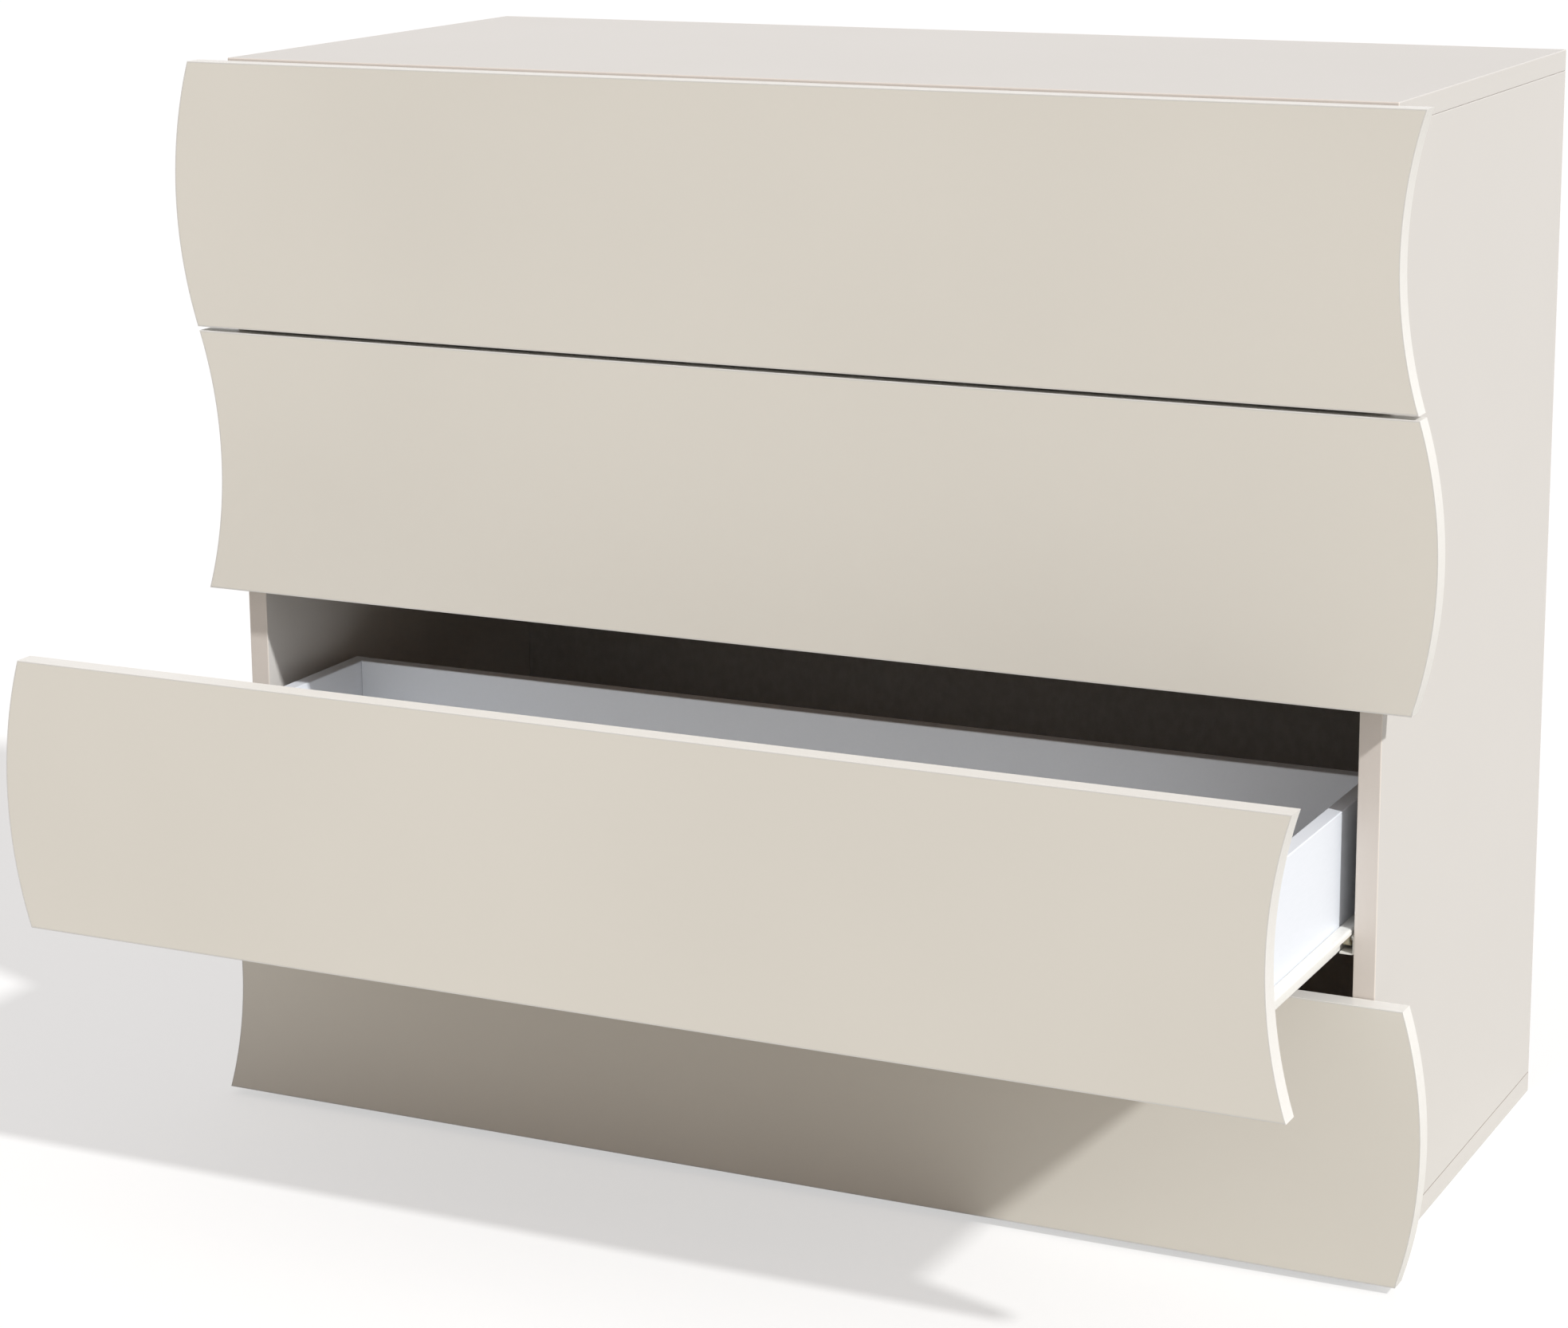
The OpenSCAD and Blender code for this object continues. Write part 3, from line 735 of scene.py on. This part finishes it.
for i in drawers:
    boxLo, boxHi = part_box(f"drawer_{i}_right_side")
    for hand, sign in hands.items():
        for part, node, body, shellsOf in (
                ("runner", f"drawer_{i}_{hand}_runner", f"drawer_{i}", runnerShells),
                ("rail", f"rail_{i}_{hand}", "carcass", railShells)):
            shells = [mirrored(shell, sign) for shell in shellsOf(*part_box(node), boxHi.x, boxLo.z)]
            name = f"{part}{i}.{hand}"
            weighNormals(addPiece(name, meshOf(name, shells), "runner_steel", body, [node]))
print("runners and rails made")


# Rollers: a chamfered tread, a hub and a ring sunk in each face
rollers = {
    "frontRadius": 6.5 * mm,
    "rearRadius": 5.2 * mm,
    "bore": 2.05 * mm,  # radius
    "hub": 3.2 * mm,  # radius
    "chamfer": 0.4 * mm,
    "bulge": 0.3,  # share of the chamfer by which its middle stands off the corner
    "sunk": 0.5 * mm,
    "slope": 0.2 * mm,  # run of the sunk ring's sides
}


# Closed section of a roller from its bore outwards over one face, the tread and the other face
def rollerShell(tread, start, y, z):
    hub, slope, chamfer = rollers["hub"], rollers["slope"], rollers["chamfer"]
    end, sunk = start + profiles["rollerWide"], start + rollers["sunk"]
    ring = hub + (tread - hub) / 2
    bulge = rollers["bulge"] * chamfer
    face = [(start, rollers["bore"]), (start, hub - slope), (sunk, hub), (sunk, ring - slope), (start, ring),
            (start, tread - chamfer), (start + bulge, tread - bulge), (start + chamfer, tread)]
    profile = face + [(start + end - x, radius) for x, radius in face[::-1]]
    return placed(turned(profile, closed=True), (0, y, z))


for i in drawers:
    boxLo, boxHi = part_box(f"drawer_{i}_right_side")
    start = boxHi.x + profiles["rollerU"]
    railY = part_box(f"rail_{i}_right")[0].y + profiles["axleEnd"]
    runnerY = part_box(f"drawer_{i}_right_runner")[1].y - profiles["axleEnd"]
    for name, tread, y, up, node in (
            ("front", rollers["frontRadius"], railY, profiles["frontAxleZ"], f"front_rollers_{i}"),
            ("rear", rollers["rearRadius"], runnerY, profiles["rearAxleZ"], f"drawer_{i}_rear_rollers")):
        shell = rollerShell(tread, start, y, boxLo.z + up)
        mesh = meshOf(f"{name}Rollers{i}", [mirrored(shell, sign) for sign in hands.values()])
        weighNormals(addPiece(f"{name}Rollers{i}", mesh, "roller_nylon", f"{name}_rollers_{i}", [node]))
print("rollers made")


# Fittings, drawn in millimetres along their own axis from the face of the head, or a bolt from where its
# thread begins. Heads, sockets, shanks and threads are given by radius. A face falls by the crown towards
# its rim, steeply where the power is high. Its drive's arms reach out from the middle, sunk by the depth
fittings = {
    "railScrew": {"head": 3.5, "thick": 1.8, "crown": 1.1, "power": 4, "shank": 1.75, "end": 12,
                  "pitch": 1.4, "arms": 4, "halfWide": 0.4, "reach": 2, "depth": 0.9},
    "runnerScrew": {"head": 3.25, "thick": 1.5, "crown": 0.9, "power": 4, "shank": 1.75, "end": 10.5,
                    "pitch": 1.4, "arms": 4, "halfWide": 0.4, "reach": 1.9, "depth": 0.7},
    "endScrew": {"head": 3.7, "thick": 2, "crown": 0.15, "power": 12, "shank": 2, "end": 38,
                 "pitch": 1.8, "arms": 4, "halfWide": 0.45, "reach": 2.1, "depth": 1.1},
    "cam": {"head": 7.5, "thick": 12.5, "crown": 0.5, "power": 24,
            "arms": 2, "halfWide": 0.8, "reach": 5.5, "depth": 1.5},
    "smallCam": {"head": 6, "thick": 10, "crown": 0.5, "power": 24,
                 "arms": 2, "halfWide": 0.8, "reach": 4, "depth": 1.5, "turn": 90},
    "bolt": {"tip": 11, "pitch": 2.4, "thread": 3, "shank": 2.5, "neck": -32.5,
             "head": 3.4, "end": -35.5},
    "smallBolt": {"tip": 11, "pitch": 2.4, "thread": 3, "shank": 2, "neck": -22.8,
                  "head": 2.9, "end": -25.2},
    "longScrew": {"socket": 2.3, "socketDepth": 2.5, "shank": 3.2, "end": 50, "pitch": 3,
                  "head": [(0, 3.4), (0.15, 4), (0.7, 4.6), (1.3, 4.8), (3, 4.8)]},
    "threadDeep": 0.16,  # share of the radius
    "threadSteps": 6,  # rings to a turn
    "tipShare": 0.3,  # radius of a screw's tip, as a share of its shank's
    "faceRings": (0.7, 0.85, 0.93, 0.97, 1),  # radii on a head outside its drive, as shares of the head's
    "driveMiddle": 0.2,  # innermost ring of a drive, as a share of its core
    "fieldSteps": {2: 20, 4: 8},  # points of a ring between two arms, by the number of arms
    "dowel": [(-19, 3.1), (-17.8, 4), (9.8, 4), (11, 3.1)],
    "flutes": 12,
    "fluteDeep": 0.04,  # share of the dowel's radius
}


# Rings of a threaded stretch: the radius dips by a share, as a cosine of the turns run along it less the
# angle round it, so that the crest climbs as a helix
def threadRings(start, end, radius, pitch, angle):
    steps = round((end - start) / pitch * fittings["threadSteps"])
    along = np.linspace(start, end, steps)[:, None]
    dip = fittings["threadDeep"] * (0.5 - 0.5 * np.cos(2 * math.pi * along / pitch - angle))
    return along, radius * (1 - dip)


# Head with its drive. On a ring of radius r an arm's edges stand asin(half width / r) off its middle, so the
# arm is straight; inside the core the arms meet. Each wall is a pair of rings, or columns, in one place: the
# middle and the core lie sunk, then the core and the reach, sunk only in the arms, and then comes the face
def drivenShell(f):
    n, halfWide, reach, head = f["arms"], f["halfWide"], f["reach"], f["head"]
    between = 2 * math.pi / n  # angle from arm to arm
    core = halfWide / math.sin(between / 2)
    face = [r for r in np.array(fittings["faceRings"]) * head if r > reach]
    radius = np.array([fittings["driveMiddle"] * core, core, core, reach, reach, *face])[:, None]
    offset = np.arcsin(np.minimum(halfWide / radius, math.sin(between / 2)))
    edges = offset * np.array([-1, 0, 1])
    field = offset + (between - 2 * offset) * np.linspace(0, 1, fittings["fieldSteps"][n])
    arm = np.concatenate([edges, field], axis=1)
    angle = np.concatenate([arm + between * k for k in range(n)], axis=1) + math.radians(f.get("turn", 0))
    ring = np.arange(len(radius))[:, None]
    inArm = np.tile(np.arange(arm.shape[1]) < edges.shape[1], n)
    sunk = (ring < 2) | ((ring < 4) & inArm)
    along = f["crown"] * (radius / head) ** f["power"] + f["depth"] * sunk
    level = 0 * angle[:1]
    rows = [(along, radius + 0 * angle, angle), (f["thick"] + level, head + level, angle[-1:])]
    if "shank" in f:
        turns, ridge = threadRings(f["thick"], f["end"] - f["shank"], f["shank"], f["pitch"], angle[-1:])
        rows.append((turns + level, ridge, angle[-1:] + 0 * turns))
        rows.append((f["end"] + level, fittings["tipShare"] * f["shank"] + level, angle[-1:]))
    along, radius, angle = [np.concatenate(column) for column in zip(*rows)]
    return ringShell(along * mm, radius * mm, angle)


# Screw with a hexagonal socket: at an angle a from a corner the socket's radius is the corner's times
# cos(30) / cos(30 - a)
def longScrewShell():
    f = fittings["longScrew"]
    sixth = math.pi / 3
    socket = f["socket"] * math.cos(sixth / 2) / np.cos(fullTurn % sixth - sixth / 2)
    headAlong, headRadius = np.array(f["head"], float).T[:, :, None]
    turns, ridge = threadRings(f["head"][-1][0], f["end"] - f["shank"], f["shank"], f["pitch"], fullTurn)
    along = np.concatenate([[[f["socketDepth"]], [f["socketDepth"]], [0]], headAlong, turns, [[f["end"]]]])
    tip = fittings["tipShare"] * f["shank"] + 0 * fullTurn
    middle = fittings["driveMiddle"] * socket
    radius = np.concatenate([[middle, socket, socket], headRadius + 0 * socket, ridge, [tip]])
    return ringShell(along * mm, radius * mm, fullTurn)


# Bolt that screws into one board and whose head the cam draws in
def boltShell(f):
    shank, neck, head = f["shank"], f["neck"], f["head"]
    turns, ridge = threadRings(0, f["tip"], f["thread"], f["pitch"], fullTurn)
    plain = np.array([(0, shank), (neck, shank), (neck, head), (f["end"], head)])
    along = np.concatenate([turns[::-1], plain[:, :1]])
    radius = np.concatenate([ridge[::-1], plain[:, 1:] + 0 * fullTurn])
    return ringShell(along * mm, radius * mm, fullTurn)


# Dowel with flutes along it: its radius dips by a share, as a cosine round the dowel
def dowelShell():
    along, radius = np.array(fittings["dowel"], float).T[:, :, None]
    dip = fittings["fluteDeep"] * (0.5 + 0.5 * np.cos(fittings["flutes"] * fullTurn))
    return ringShell(along * mm, radius * (1 - dip) * mm, fullTurn)


# Where the fittings sit, measured on the right-hand side
places = {
    "inset": 50 * mm,  # first and last one, from a panel's front and rear edges
    "dowelStep": 64 * mm,  # from a cam to its dowel
    "camSet": 34 * mm,  # from the side panel's upper end
    "screwUp": 0.6 * mm,  # long screw's head, above the underside
    "railFront": 35 * mm,  # first rail screw, from the rail's front end
    "railRear": 40 * mm,  # last rail screw, from its rear end
    "smallCamSet": 24 * mm,  # from the drawer side's front end
    "camLow": 30 * mm,  # lower small cam, from the side's lower edge
    "camHigh": 20 * mm,  # upper one, from its upper edge
    "endScrewLow": 35 * mm,  # likewise, of the screws into the back
    "endScrewHigh": 15 * mm,
    "runnerEnd": 32 * mm,  # first and last runner screw, from the runner's ends
}


# One piece of fittings. Each is a shell with its place on the right-hand side, and is repeated on the left
def addFittings(name, parts, body, node, slotName="zinc_fittings"):
    shells = [placed(*part, hand=hand) for part in parts for hand in hands.values()]
    weighNormals(addPiece(name, meshOf(name, shells), slotName, body, [node]))


def carcassFittings():
    lo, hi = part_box("right_side_panel")
    middle = (lo.x + hi.x) / 2
    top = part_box("top_panel")[0].z
    front, rear = lo.y + places["inset"], hi.y - places["inset"]
    cam, bolt, screw = drivenShell(fittings["cam"]), boltShell(fittings["bolt"]), longScrewShell()
    cams = [(cam, (lo.x, y, top - places["camSet"])) for y in (front, rear)]
    bolts = [(bolt, (middle, y, top), 2) for y in (front, rear)]
    addFittings("topFittings", cams + bolts, "carcass", "top_fittings")
    dowelsAt = (front + places["dowelStep"], rear - places["dowelStep"])
    dowels = [(dowelShell(), (middle, y, top), 2) for y in dowelsAt]
    addFittings("topDowels", dowels, "carcass", "top_fittings", None)
    screws = [(screw, (middle, y, places["screwUp"]), 2) for y in (front, (lo.y + hi.y) / 2, rear)]
    addFittings("bottomScrews", screws, "carcass", "bottom_screws")


def railFittings():
    screw = drivenShell(fittings["railScrew"])
    parts = []
    for i in drawers:
        boxLo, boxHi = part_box(f"drawer_{i}_right_side")
        lo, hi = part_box(f"rail_{i}_right")
        x = boxHi.x + profiles["railU"] - fittings["railScrew"]["thick"] * mm
        z = boxLo.z + profiles["channel"] / 2
        for y in (lo.y + places["railFront"], (lo.y + hi.y) / 2, hi.y - places["railRear"]):
            parts.append((screw, (x, y, z)))
    addFittings("railScrews", parts, "carcass", "rail_screws")


def drawerFittings(i):
    lo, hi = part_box(f"drawer_{i}_right_side")
    runnerLo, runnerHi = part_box(f"drawer_{i}_right_runner")
    middle, board, runnerEnd = (lo.x + hi.x) / 2, hi.x - lo.x, places["runnerEnd"]
    parts = []
    for z in (lo.z + places["camLow"], hi.z - places["camHigh"]):
        parts.append((drivenShell(fittings["smallCam"]), (lo.x, lo.y + places["smallCamSet"], z)))
        parts.append((boltShell(fittings["smallBolt"]), (middle, lo.y, z), 1, -1))
    for z in (lo.z + places["endScrewLow"], hi.z - places["endScrewHigh"]):
        parts.append((drivenShell(fittings["endScrew"]), (hi.x, hi.y - board / 2, z), 0, -1))
    low = lo.z - profiles["steel"] - fittings["runnerScrew"]["thick"] * mm
    for y in (runnerLo.y + runnerEnd, (runnerLo.y + runnerHi.y) / 2, runnerHi.y - runnerEnd):
        parts.append((drivenShell(fittings["runnerScrew"]), (middle, y, low), 2))
    addFittings(f"drawer{i}.fittings", parts, f"drawer_{i}", f"drawer_{i}_fittings")


carcassFittings()
railFittings()
for i in drawers:
    drawerFittings(i)
print("fittings made")
